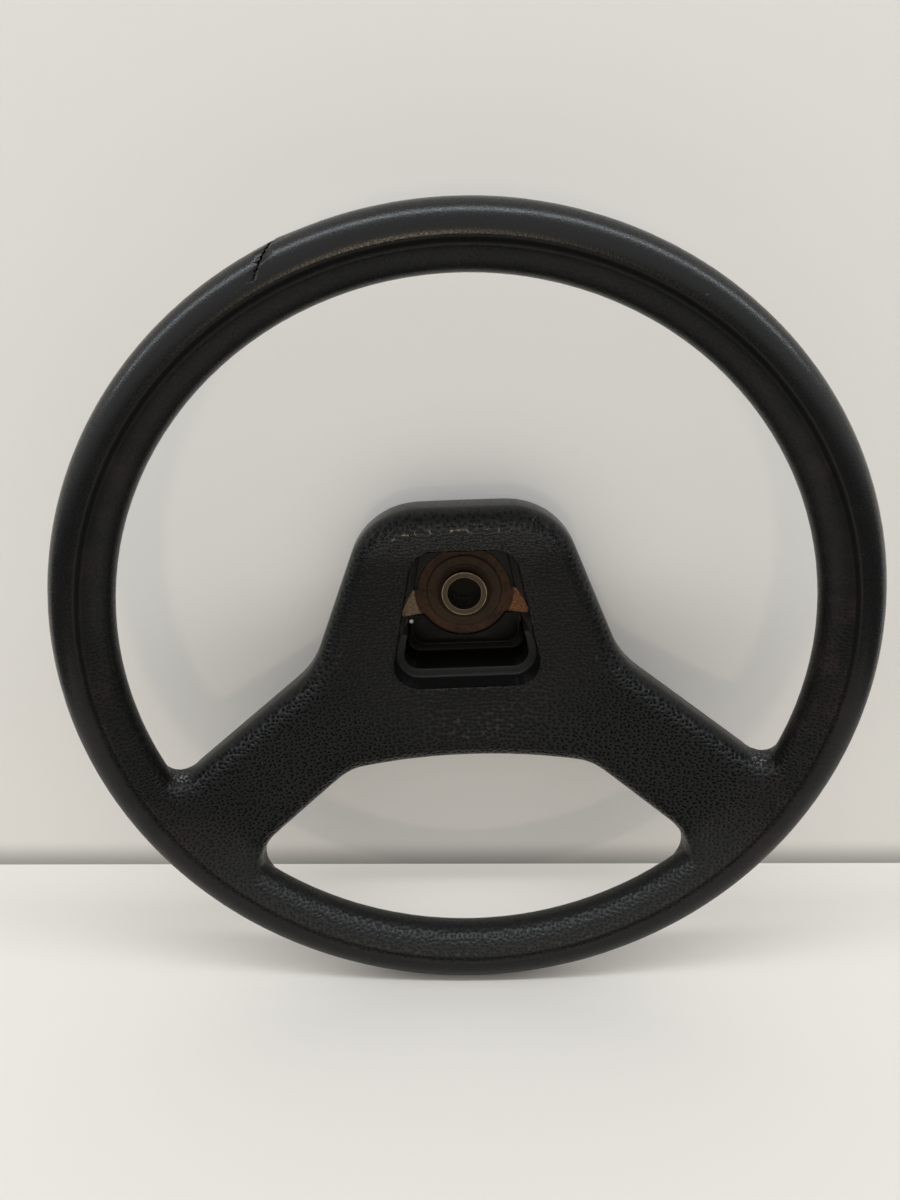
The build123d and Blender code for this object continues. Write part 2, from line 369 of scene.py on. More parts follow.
def write_region(name, values):
    """Stores one number per vertex of the cover under a name."""
    layer = cover.data.attributes.new(name, "FLOAT", "POINT")
    layer.data.foreach_set("value", values.astype(np.float32))
    print(name, "covers", round(float(values.mean()) * 100, 1), "% of the vertices")


points = points_of(cover)
normals = normals_of(cover)
x, y, z = points.T
radius = np.hypot(x, z)
rise = z / np.maximum(radius, least_radius)
polished = fade(seam_r, seam_r + polish_run, radius)
downward = fade(*lower_part, rise)
in_seam = seam_share(radius, dirt_and_shade_out, dirt_and_shade_in) * (y < rim_y) * (1 - low_dirt_and_shade_loss * downward)
shiny = polished * (low_shine + (1 - low_shine) * fade(*upper_part, rise))
from_hands = np.abs(np.degrees(np.arctan2(z, np.abs(x))) + hands_below_axis)
handled = fade(*grip_begins, radius) * (1 - fade(*hands_end, from_hands))
write_region("polished", polished)
write_region("in_seam", in_seam)
write_region("shiny", shiny)
write_region("handled", handled)

# %% [markdown]
# Hub, spokes and the lower grip were moulded with a pebbled grain. It is faint on the hub, strong on the
# spokes, and fades on walls that face sideways. The inner side of the lower grip, above the floor, faces up
# toward the lamps, and its colour is painted greyer there as painted light.

# %% Where the skin is pebbled
hub_contrast, contrast_grows = 0.50, (0.060, 0.095)
spokes_end, low_grip_share = (0.150, 0.160), 0.75
web_facing, grip_facing_drop, facing_run = 0.33, 0.20, 0.35
facing_changes = (0.145, 0.160)
foot_begins, foot_part, foot_pit_loss = (0.150, 0.158), (-0.45, -0.80), 0.4

on_low_grip = low_grip_share * downward * (1 - polished)
least_facing = web_facing - grip_facing_drop * fade(*facing_changes, radius)
pebbled = np.maximum(1 - fade(*spokes_end, radius), on_low_grip)
pebbled *= fade(least_facing, least_facing + facing_run, np.abs(normals[:, 1]))
foot_band = fade(*foot_begins, radius) * (1 - polished) * (1 - in_seam) * fade(*foot_part, rise)
contrast = hub_contrast + (1 - hub_contrast) * fade(*contrast_grows, radius)
write_region("pebbled", pebbled)
write_region("foot_band", foot_band)
write_region("pitted", pebbled * contrast * (1 - foot_pit_loss * foot_band))

# %% [markdown]
# The corners where spokes meet the grip are painted pale: they are scuffed, and the paint also draws the
# bluish highlight they catch from the ceiling lamp. The skin above the recess sparkles, because it lies just
# so that it mirrors the lamp in front. Both are found by their places.

# %% Scuffs with painted highlights, and the top of the hub
scuff_and_highlight_places = [(-0.1440, -0.0625, -0.0688), (0.1425, -0.0625, -0.0688)]
scuff_and_highlight_reach = 0.007
above_recess, hub_ends = (0.024, 0.036), (0.062, 0.072)
facing_front = (0.80, 0.97)

# the corners are scuffed and also painted with the highlight they catch from the ceiling lamp
scuff_and_highlight = np.max([1 - fade(0.0, scuff_and_highlight_reach, distance_to(points, place)) for place in scuff_and_highlight_places], axis=0)
hub_top = fade(*above_recess, z) * (1 - fade(*hub_ends, radius)) * fade(*facing_front, -normals[:, 1])
write_region("scuff_and_highlight", scuff_and_highlight)
write_region("hub_top", hub_top)

# %% [markdown]
# The edges of the recess, of its ledge and of the shelf over the pocket are painted paler: they are rubbed
# grey, and the paint also draws the highlight lines that their rounded lips catch. On a mesh an edge is where
# a vertex stands out from its neighbours, so that is measured and limited to the places of the edges. The
# shelf's edge is too soft for that, so its outline, a line with two round corners, says where it is.

# %% Worn edges of the recess and their painted highlight lines
face_y, ledge_y = -0.025, -0.011
recess_top_z, recess_bottom_z = 0.0316, -0.0428
recess_top_half, recess_bottom_half = 0.0254, 0.0404
shelf_half, shelf_edge_z, shelf_corner_r = 0.0293, -0.0302, 0.008
shelf_edge_width, shelf_sides_end = (0.0002, 0.0009), (-0.012, -0.018)
shelf_edge_back, shelf_edge_front = (0.0050, 0.0036), (0.0018, 0.0028)
sharp_rounds, least_edge, sharp_enough = 2, 1e-9, (0.10, 0.26)
recess_margin, face_margin, ledge_margin = 0.003, 0.002, 0.0015


def edge_sharpness(piece):
    """How far each vertex stands out from its neighbours, as a share of the edge length."""
    points, normals = points_of(piece), normals_of(piece)
    ends = np.empty(2 * len(piece.data.edges), dtype=int)
    piece.data.edges.foreach_get("vertices", ends)
    first, second = ends.reshape(-1, 2).T
    both = np.concatenate([first, second])
    other = np.concatenate([second, first])
    count = np.bincount(both, minlength=len(points))
    reach = np.linalg.norm(points[other] - points[both], axis=1)
    drop = -((points[other] - points[both]) * normals[both]).sum(1) / np.maximum(reach, least_edge)
    sharp = np.bincount(both, drop, len(points)) / np.maximum(count, 1)
    for _ in range(sharp_rounds):
        sharp = (sharp + np.bincount(both, sharp[other], len(points))) / (count + 1)
    return sharp


wall_slant = (recess_bottom_half - recess_top_half) / (recess_top_z - recess_bottom_z)
wall_limit = recess_top_half + wall_slant * recess_top_z
near_walls = np.abs(x) + wall_slant * z < wall_limit + recess_margin
near_heights = (z < recess_top_z + recess_margin) & (z > recess_bottom_z - recess_margin)
at_edge = (np.abs(y - face_y) < face_margin) | (np.abs(y - ledge_y) < ledge_margin)
# rubbed edges, also painted paler as the highlight lines of their rounded lips
rubbed = fade(*sharp_enough, edge_sharpness(cover)) * (near_walls & near_heights) * at_edge
# the shelf's edge: a painted highlight line along its rounded lip
edge_x = np.maximum(np.abs(x) - shelf_half + shelf_corner_r, 0)
edge_z = np.maximum(shelf_edge_z + shelf_corner_r - z, 0)
from_shelf_edge = np.abs(np.hypot(edge_x, edge_z) - shelf_corner_r)
shelf_edge = (1 - fade(*shelf_edge_width, from_shelf_edge)) * fade(*shelf_sides_end, z)
shelf_edge *= fade(*shelf_edge_back, y) * fade(*shelf_edge_front, y)
write_region("worn_and_lit_edge", np.maximum(rubbed, shelf_edge))

# %% [markdown]
# ## Node helpers
# Materials are trees of nodes. A few short helpers keep each tree readable: one adds a node and fills its
# inputs, the others are the nodes that come up again and again.

# %% Helpers that add nodes
def new_material(name):
    """A material with a Principled shader joined to its output."""
    material = bpy.data.materials.new(name)
    material.use_nodes = True
    tree = material.node_tree
    return material, tree, tree.nodes["Principled BSDF"]


def node(tree, kind, inputs=None, **settings):
    """Adds a node, sets its options and fills its inputs with values or joins them to other nodes."""
    made = tree.nodes.new(kind)
    for name, value in settings.items():
        setattr(made, name, value)
    for key, value in (inputs or {}).items():
        if isinstance(value, bpy.types.NodeSocket):
            tree.links.new(value, made.inputs[key])
        else:
            made.inputs[key].default_value = value
    return made


def object_place(tree):
    """Place on the object, in metres."""
    return node(tree, "ShaderNodeTexCoord").outputs["Object"]


def axes_of(tree, place):
    """The three numbers of a place."""
    return node(tree, "ShaderNodeSeparateXYZ", {0: place}).outputs


def region(tree, name):
    """Number that was written on the mesh under a name."""
    return node(tree, "ShaderNodeAttribute", attribute_name=name).outputs["Fac"]


def noise(tree, place, scale, detail=3.0, roughness=0.5):
    """Cloudy noise between 0 and 1."""
    inputs = {"Vector": place, "Scale": scale, "Detail": detail, "Roughness": roughness}
    return node(tree, "ShaderNodeTexNoise", inputs).outputs["Fac"]


# %% [markdown]
# The second set of helpers reckons with what the first set gives: it spreads, multiplies and mixes numbers
# and colours, and joins the results to the shader.

# %% Helpers that mix and join
def spread(tree, value, low, high, to_low=0.0, to_high=1.0):
    """Moves the span from low to high onto another span, smoothly and with its ends held."""
    inputs = {"Value": value, "From Min": low, "From Max": high, "To Min": to_low, "To Max": to_high}
    return node(tree, "ShaderNodeMapRange", inputs, interpolation_type="SMOOTHSTEP").outputs["Result"]


def maths(tree, operation, first, second=0.0):
    """One sum on two numbers."""
    return node(tree, "ShaderNodeMath", {0: first, 1: second}, operation=operation).outputs["Value"]


def times(tree, first, second):
    """Product of two numbers."""
    return maths(tree, "MULTIPLY", first, second)


def between(tree, value, low, high, soft):
    """1 where a value lies between two limits, with soft borders."""
    return times(tree, spread(tree, value, low - soft, low), spread(tree, value, high + soft, high))


def mix_colour(tree, share, first, second):
    """Colour between two colours."""
    first, second = [(*part, 1) if isinstance(part, tuple) else part for part in (first, second)]
    return node(tree, "ShaderNodeMix", {0: share, 6: first, 7: second}, data_type="RGBA").outputs[2]


def mix_number(tree, share, first, second):
    """Number between two numbers."""
    return node(tree, "ShaderNodeMix", {0: share, 2: first, 3: second}, data_type="FLOAT").outputs[0]


def mottle(tree, pattern, span, first, second):
    """Two colours mixed by a pattern, over a span of its values."""
    return mix_colour(tree, spread(tree, pattern, *span), first, second)


def coats(tree, mix, value, rows):
    """Lays values over a first one, coat after coat, each as far as its share says."""
    for share, other in rows:
        value = mix(tree, share, value, other)
    return value


def bumps(tree, height, depth, over=None):
    """Bump normal from a height between 0 and 1 that stands for a depth in metres."""
    inputs = {"Height": height, "Distance": depth, "Strength": 1.0}
    if over is not None:
        inputs["Normal"] = over
    return node(tree, "ShaderNodeBump", inputs).outputs["Normal"]


def join(tree, shader, **sockets):
    """Joins values to the shader's sockets; an underscore in a name stands for a space."""
    for name, value in sockets.items():
        tree.links.new(value, shader.inputs[name.replace("_", " ")])


def dress(piece, material):
    """Gives a piece one material."""
    piece.data.materials.clear()
    piece.data.materials.append(material)
    print(piece.name, "wears", material.name, "with", len(material.node_tree.nodes), "nodes")


# %% [markdown]
# ## Skin of the foam
# The skin is black. Hub, spokes and the lower grip have a leather grain: round pits about 2 mm apart, a
# little wider than high. The upper grip has only a fine grain. The distance to the nearest Voronoi point is
# small in a pit and large between pits, so it gives both the dark spots and the bumps. The pattern lies in
# the plane of the wheel and grows smaller toward the front, so that it isn't drawn out into streaks on the
# side walls.

# %% Grain of the skin
pits_per_metre = 505.0
pit_stretch, pit_randomness = 0.80, 0.75
front_y, back_y = -0.090, 0.020
front_grow, back_grow = 1.10, 0.88
fine_per_metre, patches_per_metre = 950.0, 26.0

skin, tree, shader = new_material("grained_skin")
place = object_place(tree)
axes = axes_of(tree, place)
grow = spread(tree, axes["Y"], front_y, back_y, front_grow, back_grow)
grown_x = times(tree, times(tree, axes["X"], pit_stretch), grow)
grown_z = times(tree, axes["Z"], grow)
flat = node(tree, "ShaderNodeCombineXYZ", {"X": grown_x, "Y": grown_z}).outputs["Vector"]
pit_inputs = {"Vector": flat, "Scale": pits_per_metre, "Randomness": pit_randomness}
from_pit = node(tree, "ShaderNodeTexVoronoi", pit_inputs, voronoi_dimensions="2D").outputs["Distance"]
fine = noise(tree, place, fine_per_metre, detail=3.0, roughness=0.6)
patch = noise(tree, place, patches_per_metre, detail=4.0)

# %% [markdown]
# The recess was moulded smooth. Its ledge is dusty and the shelf over the pocket is dark. Its upper walls are
# painted paler, as dust and as painted light that lifts the shade of the deep recess, and the pocket is
# painted a brown paler than the shelf, its own tint with painted light in its shade. These borders are
# sharper than the vertices lie apart, so they aren't written on the mesh: the material finds them by their
# depth, height and distance from the slanting walls.

# %% Places in the recess
pocket_y = 0.012
wall_edge = (wall_limit + 0.0017, wall_limit + 0.0013)
height_soft, depth_soft = 0.0002, 0.0010
front_gap, back_gap = 0.0022, 0.0005
shelf_depth, shelf_height = (-0.002, 0.001), (-0.008, -0.014)
pocket_base_depth, pocket_base_height = (-0.0100, -0.0085), (-0.0370, -0.0378)
pocket_wall_depth, pocket_wall_height = (0.0036, 0.0046), (-0.0270, -0.0285)
pale_wall_front, pale_wall_back, pale_wall_soft = -0.021, 0.0015, 0.001
pale_wall_height = (-0.022, -0.012)
ledge_half = 0.0006


def deep_and_low(depth_span, height_span):
    """Mask that grows over a span of depths and a span of heights."""
    return times(tree, spread(tree, axes["Y"], *depth_span), spread(tree, axes["Z"], *height_span))


slanted = maths(tree, "ADD", maths(tree, "ABSOLUTE", axes["X"]), times(tree, axes["Z"], wall_slant))
in_box = times(tree, spread(tree, slanted, *wall_edge),
               between(tree, axes["Z"], recess_low_z, recess_high_z, height_soft))
in_depth = between(tree, axes["Y"], face_y + front_gap, pocket_y + back_gap, depth_soft)
smooth = times(tree, in_box, in_depth)
on_shelf = times(tree, smooth, deep_and_low(shelf_depth, shelf_height))
pocket_base = deep_and_low(pocket_base_depth, pocket_base_height)
pocket_wall = deep_and_low(pocket_wall_depth, pocket_wall_height)
in_pocket = times(tree, smooth, maths(tree, "MAXIMUM", pocket_base, pocket_wall))
upper_wall = times(tree, between(tree, axes["Y"], pale_wall_front, pale_wall_back, pale_wall_soft),
                   spread(tree, axes["Z"], *pale_wall_height))
dust_and_light_wall = times(tree, smooth, upper_wall)
ledge_depth = between(tree, axes["Y"], ledge_y - ledge_half, ledge_y + ledge_half, ledge_half)
on_ledge = times(tree, smooth, ledge_depth)
print("the recess's walls slant by", round(math.degrees(math.atan(wall_slant)), 1), "degrees")

# %% [markdown]
# Each wear and each painted light has a share, a number that says how much of it a place has. Some are the
# regions as they stand, others are a region times a pattern, such as the chips in the scuffs or the patches
# in the brown. One painted glint, a pale highlight spot, lies on the left end of the shelf.

# %% Shares of the wear and the painted light
pit_edge, dome_rise = (0.42, 0.14), (0.05, 0.65)
fine_dark = (0.35, 0.65, 0.75, 0.0)
brown_per_metre, brown_patches = 60.0, (0.46, 0.70)
least_brown, most_brown = 0.03, 0.50
shine_darkens, top_darkens, ledge_pales, scuff_and_highlight_pales = 0.75, 0.6, 0.8, 0.9
dirt_and_shade_share = (0.3, 0.9, 0.0, 0.75)
chips_per_metre, chip_edge = 900.0, (0.52, 0.62)
edge_breaks = (0.3, 0.6, 0.3, 0.8)
glint_place, glint_edge = (-0.0291, 0.0030, -0.0160), (0.0014, 0.0006)

grained = mix_number(tree, smooth, 1.0, 0.0)
pit = times(tree, spread(tree, from_pit, *pit_edge), times(tree, region(tree, "pitted"), grained))
dome = times(tree, spread(tree, from_pit, *dome_rise), times(tree, region(tree, "pebbled"), grained))
fine_share = spread(tree, fine, *fine_dark)
brown_noise = noise(tree, place, brown_per_metre, detail=5.0, roughness=0.6)
handled = mix_number(tree, region(tree, "handled"), least_brown, most_brown)
brown_share = times(tree, spread(tree, brown_noise, *brown_patches), handled)
shiny = region(tree, "shiny")
hub_top = region(tree, "hub_top")
foot_band = region(tree, "foot_band")
in_seam = region(tree, "in_seam")
seam_dirt_and_shade = spread(tree, in_seam, *dirt_and_shade_share)
chip_noise = noise(tree, place, chips_per_metre, detail=4.0, roughness=0.7)
chips = spread(tree, chip_noise, *chip_edge)
scuff_and_highlight_share = times(tree, times(tree, chips, region(tree, "scuff_and_highlight")), scuff_and_highlight_pales)
edge_share = times(tree, region(tree, "worn_and_lit_edge"), spread(tree, fine, *edge_breaks))
# painted glint: a pale highlight spot painted on the left end of the shelf
to_glint = node(tree, "ShaderNodeVectorMath", {0: place, 1: glint_place}, operation="DISTANCE")
glint_share = spread(tree, to_glint.outputs["Value"], *glint_edge)
print("patterns and shares of the skin:", len(tree.nodes), "nodes")

# %% [markdown]
# The colour is laid on in coats, from the broad to the small: a patchy black, the dark of the fine grain, the
# brown of hands, and so on to the painted glint. Each coat covers the ones before it as far as its share
# says.

# %% Colour of the skin
patch_span = (0.35, 0.68)
black = mottle(tree, patch, patch_span, (0.0042, 0.0046, 0.0043), (0.0072, 0.0074, 0.0068))
black = coats(tree, mix_colour, black, [
    (fine_share, (0.0014, 0.0014, 0.0013)),
    (brown_share, (0.0210, 0.0130, 0.0105)),
    (times(tree, shiny, shine_darkens), (0.0016, 0.0017, 0.0017)),
    (smooth, (0.0045, 0.0046, 0.0042)),
    (times(tree, hub_top, top_darkens), (0.0026, 0.0028, 0.0026)),
    # painted light: the upward-facing inner side of the lower grip is painted greyer
    (foot_band, (0.0098, 0.0098, 0.0092)),
    (pit, (0.0012, 0.0012, 0.0011)),
    # dirt and painted shade in the crease of the seam
    (seam_dirt_and_shade, (0.0016, 0.0015, 0.0014)),
    (times(tree, on_ledge, ledge_pales), (0.0120, 0.0120, 0.0112)),
    (on_shelf, (0.0014, 0.0015, 0.0013)),
    # painted light: the shaded pocket is lifted paler than the shelf, with a brown tint
    (in_pocket, (0.0034, 0.0031, 0.0026)),
    # dust and painted light on the upper walls of the recess
    (dust_and_light_wall, (0.0340, 0.0325, 0.0295)),
    # scuffs with a painted highlight at the corners of the spokes
    (scuff_and_highlight_share, (0.30, 0.31, 0.31)),
    # worn edges with painted highlight lines
    (edge_share, (0.050, 0.050, 0.047)),
    # painted highlight: the glint on the shelf
    (glint_share, (0.60, 0.60, 0.57)),
])
join(tree, shader, Base_Color=black)
print("skin with its colour:", len(tree.nodes), "nodes")

# %% [markdown]
# Polished foam mirrors more sharply than grained foam, and dirt hardly mirrors at all. So roughness and
# strength of the reflection are laid on in coats too. Two bumps give the relief: the fine grain everywhere
# and, over it, the domes between the pits.

# %% Gloss and bumps of the skin
pebble_gloss, grip_gloss = 0.30, 0.42
shine_starts, dirt_starts = (0.3, 0.9), (0.02, 0.4)
fine_gloss = (0.3, 0.7, 0.08, -0.05)
plain_sheen, polished_sheen = 0.20, 0.38
top_relief = 1.6
fine_depth, pit_depth = 0.00006, 0.00028

gloss = coats(tree, mix_number, mix_number(tree, region(tree, "polished"), pebble_gloss, grip_gloss), [
    (spread(tree, shiny, *shine_starts), 0.25),
    (hub_top, 0.20),
    (spread(tree, in_seam, *dirt_starts), 0.55),
    (smooth, 0.40),
])
gloss = maths(tree, "ADD", gloss, spread(tree, fine, *fine_gloss))
sheen = coats(tree, mix_number, mix_number(tree, shiny, plain_sheen, polished_sheen), [
    (foot_band, 0.27),
    (hub_top, 0.44),
    (pit, 0.03),
    (seam_dirt_and_shade, 0.06),
    (on_shelf, 0.12),
])
relief = times(tree, dome, mix_number(tree, hub_top, 1.0, top_relief))
normal = bumps(tree, relief, pit_depth, bumps(tree, fine, fine_depth))
join(tree, shader, Roughness=gloss, Normal=normal, Specular_IOR_Level=sheen)
dress(cover, skin)

# %% [markdown]
# ## Rusty steel
# The pressed spider has been bare for years. Its disc is dull brown. The bent arms at the sides are tan on
# the left and orange on the right, and much paler than the disc: rust, and painted light where their bent
# faces catch the lamps. Clouds of noise at two sizes give the rust its patches, and the place on the pressing
# decides which colours they are made of.

# %% Rust on the spider
rust_per_metre, specks_per_metre = 120.0, 900.0
brown_clouds, brown_specks = (0.35, 0.65), (0.50, 0.72)
tan_specks, orange_specks = (0.40, 0.65), (0.40, 0.62)
arms_begin, left_to_right = (0.0262, 0.0272), (-0.02, 0.02)
rust_depth, speck_depth = 0.0004, 0.00012
rust_sheen = 0.10
rust_roughness = (0.3, 0.7, 0.62, 0.9)


def from_axis(tree, place):
    """Distance from the wheel's axis."""
    axes = axes_of(tree, place)
    flat = node(tree, "ShaderNodeCombineXYZ", {"X": axes["X"], "Z": axes["Z"]}).outputs["Vector"]
    return node(tree, "ShaderNodeVectorMath", {0: flat}, operation="LENGTH").outputs["Value"]


rust, tree, shader = new_material("rusty_pressing")
place = object_place(tree)
broad = noise(tree, place, rust_per_metre, detail=5.0, roughness=0.6)
speck = noise(tree, place, specks_per_metre, detail=5.0, roughness=0.65)
brown = mottle(tree, broad, brown_clouds, (0.040, 0.0255, 0.0175), (0.066, 0.036, 0.0215))
brown = mottle(tree, speck, brown_specks, brown, (0.020, 0.012, 0.0085))
tan = mottle(tree, speck, tan_specks, (0.21, 0.160, 0.105), (0.12, 0.075, 0.042))
orange = mottle(tree, speck, orange_specks, (0.26, 0.115, 0.055), (0.11, 0.052, 0.028))
arm = mottle(tree, axes_of(tree, place)["X"], left_to_right, tan, orange)
# painted light: the arms are far paler than the disc where their bent faces catch the lamps
colour = mottle(tree, from_axis(tree, place), arms_begin, brown, arm)
normal = bumps(tree, speck, speck_depth, bumps(tree, broad, rust_depth))
shader.inputs["Specular IOR Level"].default_value = rust_sheen
join(tree, shader, Base_Color=colour, Roughness=spread(tree, speck, *rust_roughness), Normal=normal)
dress(nodes["arm_spider"], rust)

# %% [markdown]
# The hoop lies inside the foam, where no air reaches it. So it keeps the grey streaks of drawn rod.

# %% Drawn rod of the hoop
streaks_per_metre = 300.0
rod_roughness = (0.2, 0.8, 0.35, 0.6)

rod, tree, shader = new_material("drawn_rod")
streak = noise(tree, object_place(tree), streaks_per_metre, detail=4.0)
shader.inputs["Metallic"].default_value = 1.0
join(tree, shader, Base_Color=mix_colour(tree, streak, (0.20, 0.19, 0.18), (0.38, 0.36, 0.34)),
     Roughness=spread(tree, streak, *rod_roughness))
dress(nodes["rim_hoop"], rod)

# %% [markdown]
# ## The boss
# The column nut has rubbed a bright ring on the end of the boss, brightest at its two edges. The raised ring
# round it is brown and violet, and the bore is darker deep inside. All of these follow the distance from the
# axis and the depth, so one material serves.

# %% Worn boss
clouds_per_metre, grit_per_metre = 160.0, 1300.0
violet_clouds, crescent_grit, bright_grit = (0.35, 0.65), (0.35, 0.7), (0.45, 0.75)
raised_ring_begins = (0.0142, 0.0150)
seat_depth = (0.0009, 0.0003)
outer_rub, inner_rub = (0.0114, 0.0117), (0.0094, 0.0091)
rub_patches = (0.35, 0.6, 0.25, 1.0)
bore_wall, bore_mouth = (0.0102, 0.0092), (0.0004, 0.002)
grit_depth = 0.00010
dull_roughness, seat_roughness, seat_metal = 0.75, 0.45, 0.6
boss_sheen = 0.10

worn, tree, shader = new_material("worn_boss")
place = object_place(tree)
reach = from_axis(tree, place)
depth = axes_of(tree, place)["Y"]
broad = noise(tree, place, clouds_per_metre, detail=5.0, roughness=0.6)
speck = noise(tree, place, grit_per_metre, detail=5.0, roughness=0.65)
violet = mottle(tree, broad, violet_clouds, (0.035, 0.025, 0.0165), (0.046, 0.032, 0.0200))
crescent = mottle(tree, speck, crescent_grit, (0.033, 0.018, 0.0105), (0.012, 0.0075, 0.0050))
bright = mottle(tree, speck, bright_grit, (0.085, 0.066, 0.043), (0.034, 0.022, 0.0135))
rubbed = maths(tree, "MAXIMUM", spread(tree, reach, *outer_rub), spread(tree, reach, *inner_rub))
rubbed = times(tree, rubbed, spread(tree, broad, *rub_patches))
on_seat = spread(tree, depth, *seat_depth)
deep = times(tree, spread(tree, reach, *bore_wall), spread(tree, depth, *bore_mouth))
colour = coats(tree, mix_colour, mottle(tree, reach, raised_ring_begins, crescent, violet), [
    (on_seat, mix_colour(tree, rubbed, bright, (0.30, 0.245, 0.175))),
    (deep, (0.012, 0.010, 0.008)),
])
shader.inputs["Specular IOR Level"].default_value = boss_sheen
join(tree, shader, Base_Color=colour, Roughness=mix_number(tree, on_seat, dull_roughness, seat_roughness),
     Normal=bumps(tree, speck, grit_depth), Metallic=times(tree, on_seat, seat_metal))
dress(nodes["hub_boss"], worn)

# %% [markdown]
# ## The cancelling ring
# The ring behind the hub turns the indicator stalk back after a bend. Such rings are moulded of nylon, mostly
# left in its own milky colour, which lets a little light in.

# %% Nylon of the cancelling ring
nylon_per_metre = 200.0
nylon_roughness = (0.2, 0.8, 0.4, 0.55)
nylon_glow = 0.1

nylon, tree, shader = new_material("natural_nylon")
cloud = noise(tree, object_place(tree), nylon_per_metre, detail=4.0)
join(tree, shader, Base_Color=mix_colour(tree, cloud, (0.55, 0.52, 0.44), (0.66, 0.63, 0.55)),
     Roughness=spread(tree, cloud, *nylon_roughness))
shader.inputs["Subsurface Weight"].default_value = nylon_glow
dress(nodes["cancel_ring"], nylon)

# %% [markdown]
# ## Stage
# The wheel stands on a pale floor in front of a pale wall, and its boss touches the wall. A wall this close
# would hide the wheel from behind, so the paint of the stage lets a view from the back pass. The wall's paint
# is darkened as painted shade where the bore looks onto it and in the crease at its foot.

# %% Paint of the stage
stage_roll = math.radians(2.126)
floor_up = Vector((math.sin(stage_roll), 0, math.cos(stage_roll)))
paint_roughness, paint_sheen = 0.85, 0.15
bore_shade, bore_shade_r, bore_shade_soft = (0.03, 0.026, 0.02), 0.011, 1.1
foot_shade, foot_shade_top = 0.46, 0.020


def stage_paint(name, colour):
    """Matt paint that a view from the back passes."""
    material, tree, shader = new_material(name)
    shader.inputs["Base Color"].default_value = (*colour, 1)
    shader.inputs["Roughness"].default_value = paint_roughness
    shader.inputs["Specular IOR Level"].default_value = paint_sheen
    behind = node(tree, "ShaderNodeNewGeometry").outputs["Backfacing"]
    clear = node(tree, "ShaderNodeBsdfTransparent").outputs["BSDF"]
    mix = node(tree, "ShaderNodeMixShader", {0: behind, 1: shader.outputs["BSDF"], 2: clear})
    tree.links.new(mix.outputs["Shader"], tree.nodes["Material Output"].inputs["Surface"])
    return material


def shade_wall(material, colour):
    """Paints shade on a wall: darker round the wheel's axis and at the wall's foot."""
    tree = material.node_tree
    place = node(tree, "ShaderNodeNewGeometry").outputs["Position"]
    height = node(tree, "ShaderNodeVectorMath", {0: place, 1: floor_up}, operation="DOT_PRODUCT")
    # painted shade: darker at the wall's foot and round the axis, where the bore looks onto the wall
    above_foot = spread(tree, height.outputs["Value"], -rim_r, foot_shade_top - rim_r)
    paint = mix_colour(tree, above_foot, tuple(foot_shade * part for part in colour), colour)
    lit = spread(tree, from_axis(tree, place), bore_shade_r, bore_shade_r * bore_shade_soft)
    join(tree, tree.nodes["Principled BSDF"], Base_Color=mix_colour(tree, lit, bore_shade, paint))


floor_colour, wall_colour = (0.709, 0.670, 0.613), (0.736, 0.715, 0.678)
floor_paint = stage_paint("floor_paint", floor_colour)
wall_paint = stage_paint("wall_paint", wall_colour)
shade_wall(wall_paint, wall_colour)
print("the floor is rolled by", round(math.degrees(stage_roll), 2), "degrees against the wheel")

# %% [markdown]
# The floor has two parts. A small one lies under the wheel and is mirrored in it. A large one, a hair lower,
# fills the view, but the skin doesn't mirror it: a mirrored floor of that size would make the lower faces of
# the wheel paler than the photo shows them. The wall casts no shadow and throws no light back, which keeps
# the back of the wheel lit and its front dark.

# %% Floor and wall
wall_y, wall_gap = 0.0202, 0.0012
stage_size, near_wide = 8.0, 0.90
near_y, lamp_side_y, far_y = -0.42, -2.0, 4.0
floor_step = 0.0001


def stage_plane(name, middle, size, turn, paint):
    """A painted rectangle of the stage."""
    bpy.ops.object.select_all(action="DESELECT")
    bpy.ops.mesh.primitive_plane_add(size=1, location=middle, rotation=turn)
    plane = bpy.context.active_object
    plane.name = name
    plane.scale = (*size, 1)
    dress(plane, paint)
    return plane


upright = math.radians(90)
floor_turn, wall_turn = (0, stage_roll, 0), (upright, stage_roll, 0)
floor_middle = -rim_r * floor_up + Vector((0, (near_y + wall_y) / 2, 0))
far_middle = -(rim_r + floor_step) * floor_up + Vector((0, (far_y + lamp_side_y) / 2, 0))
wall_middle = floor_up * (wall_gap + stage_size / 2 - rim_r) + Vector((0, wall_y, 0))
floor = stage_plane("floor", floor_middle, (near_wide, wall_y - near_y), floor_turn, floor_paint)
far_floor = stage_plane("far_floor", far_middle, (stage_size, far_y - lamp_side_y), floor_turn, floor_paint)
wall = stage_plane("wall", wall_middle, (stage_size, stage_size), wall_turn, wall_paint)
far_floor.visible_glossy = False
wall.visible_diffuse = False
wall.visible_shadow = False

# %% [markdown]
# ## Light
# The light of the room comes from above and from behind the wall more than from below, so the world's
# strength follows the direction: low toward the floor, high toward the ceiling.

# %% World
low_light, high_light, back_light = 0.14, 0.76, 0.88
floor_to_ceiling, front_to_back = (-0.10, 0.15), (0.0, 0.4)

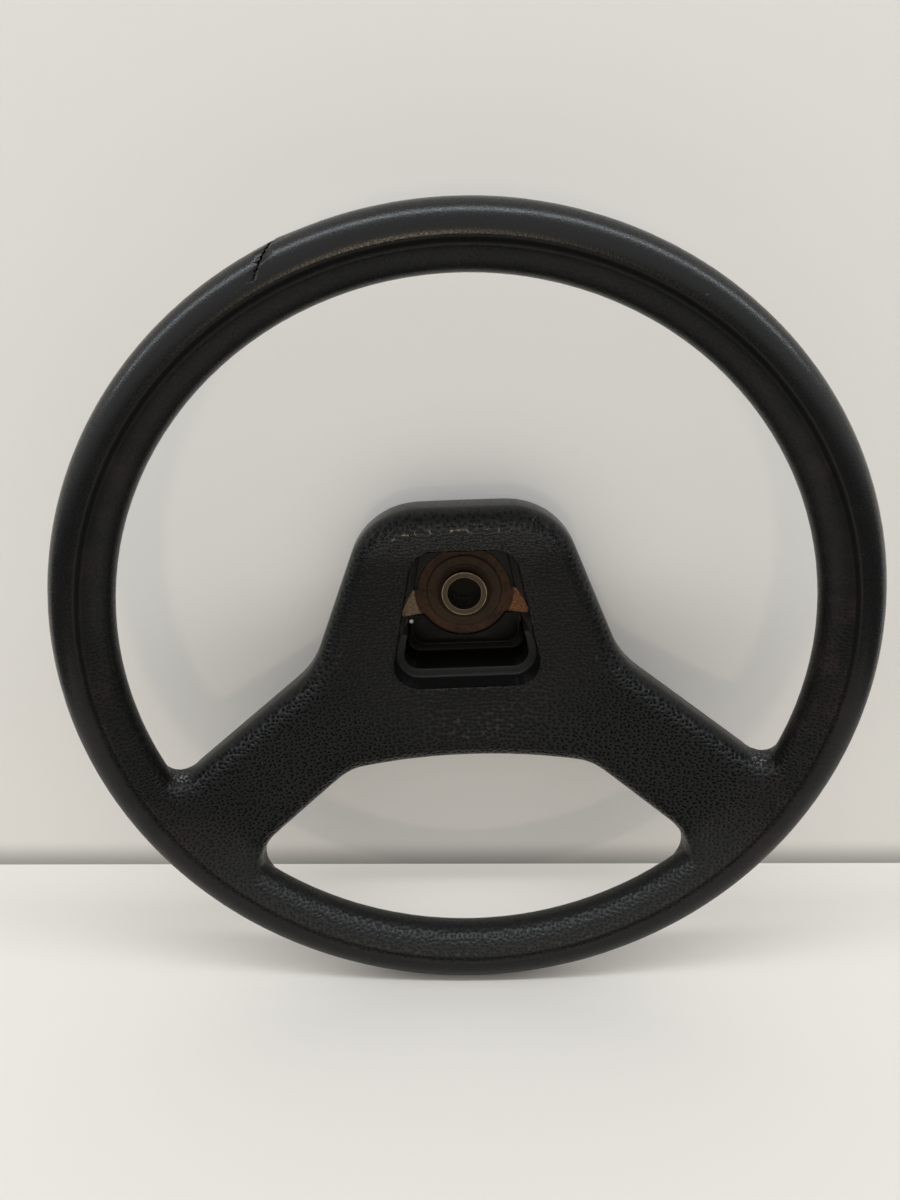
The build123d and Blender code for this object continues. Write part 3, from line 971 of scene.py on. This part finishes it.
world = bpy.data.worlds.new("studio")
bpy.context.scene.world = world
world.use_nodes = True
tree = world.node_tree
tree.nodes["Background"].inputs["Color"].default_value = (1, 1, 1, 1)
direction = axes_of(tree, node(tree, "ShaderNodeTexCoord").outputs["Generated"])
level = spread(tree, direction["Z"], *floor_to_ceiling, low_light, high_light)
level = mix_number(tree, spread(tree, direction["Y"], *front_to_back), level, back_light)
tree.links.new(level, tree.nodes["Background"].inputs["Strength"])
print("world:", len(tree.nodes), "nodes")

# %% [markdown]
# A long cool panel hangs overhead and a weak warm lamp stands low in front, as in a shop. The panel draws the
# bright line along the top of the grip, the warm lamp the golden one beside the seam.

# %% Lamps
def area_lamp(name, location, aim, size, power, colour):
    """A rectangular lamp that faces a point."""
    direction = Vector(aim) - Vector(location)
    turn = direction.to_track_quat("-Z", "Y").to_euler()
    bpy.ops.object.light_add(type="AREA", location=location, rotation=turn)
    lamp = bpy.context.active_object
    lamp.name = name
    lamp.data.shape = "RECTANGLE"
    lamp.data.size, lamp.data.size_y = size
    lamp.data.energy = power
    lamp.data.color = colour
    print(name, "gives", power, "W from", round(direction.length, 2), "m")


area_lamp("ceiling_strip", location=(0.0, -0.54, 1.40), aim=(0, -0.30, 0), size=(6.4, 0.105), power=34.0,
          colour=(0.87, 0.94, 1.0))
area_lamp("warm_lamp", location=(-0.13, -3.0, -0.12), aim=(0, 0, 0), size=(0.25, 0.12), power=6.0,
          colour=(1.0, 0.82, 0.6))

# %% [markdown]
# ## Camera
# The photo was taken from close by, a little above the hub, with a short lens. Place, turn and lens were
# fitted to the outlines of the rim, the hub and the openings, so they aren't round numbers.

# %% Camera
camera_place = (-0.00251, -0.44880, 0.17107)
camera_degrees = (68.76, 2.126, -0.159)
lens_mm, sensor_mm = 27.15, 36.0
nearest_seen = 0.01

camera_turn = [math.radians(angle) for angle in camera_degrees]
bpy.ops.object.camera_add(location=camera_place, rotation=camera_turn)
camera = bpy.context.active_object
camera.data.lens = lens_mm
camera.data.sensor_width = sensor_mm
camera.data.clip_start = nearest_seen
bpy.context.scene.camera = camera
bpy.context.scene.view_settings.view_transform = "Standard"
print("camera to hub:", round(Vector(camera_place).length, 3), "m")
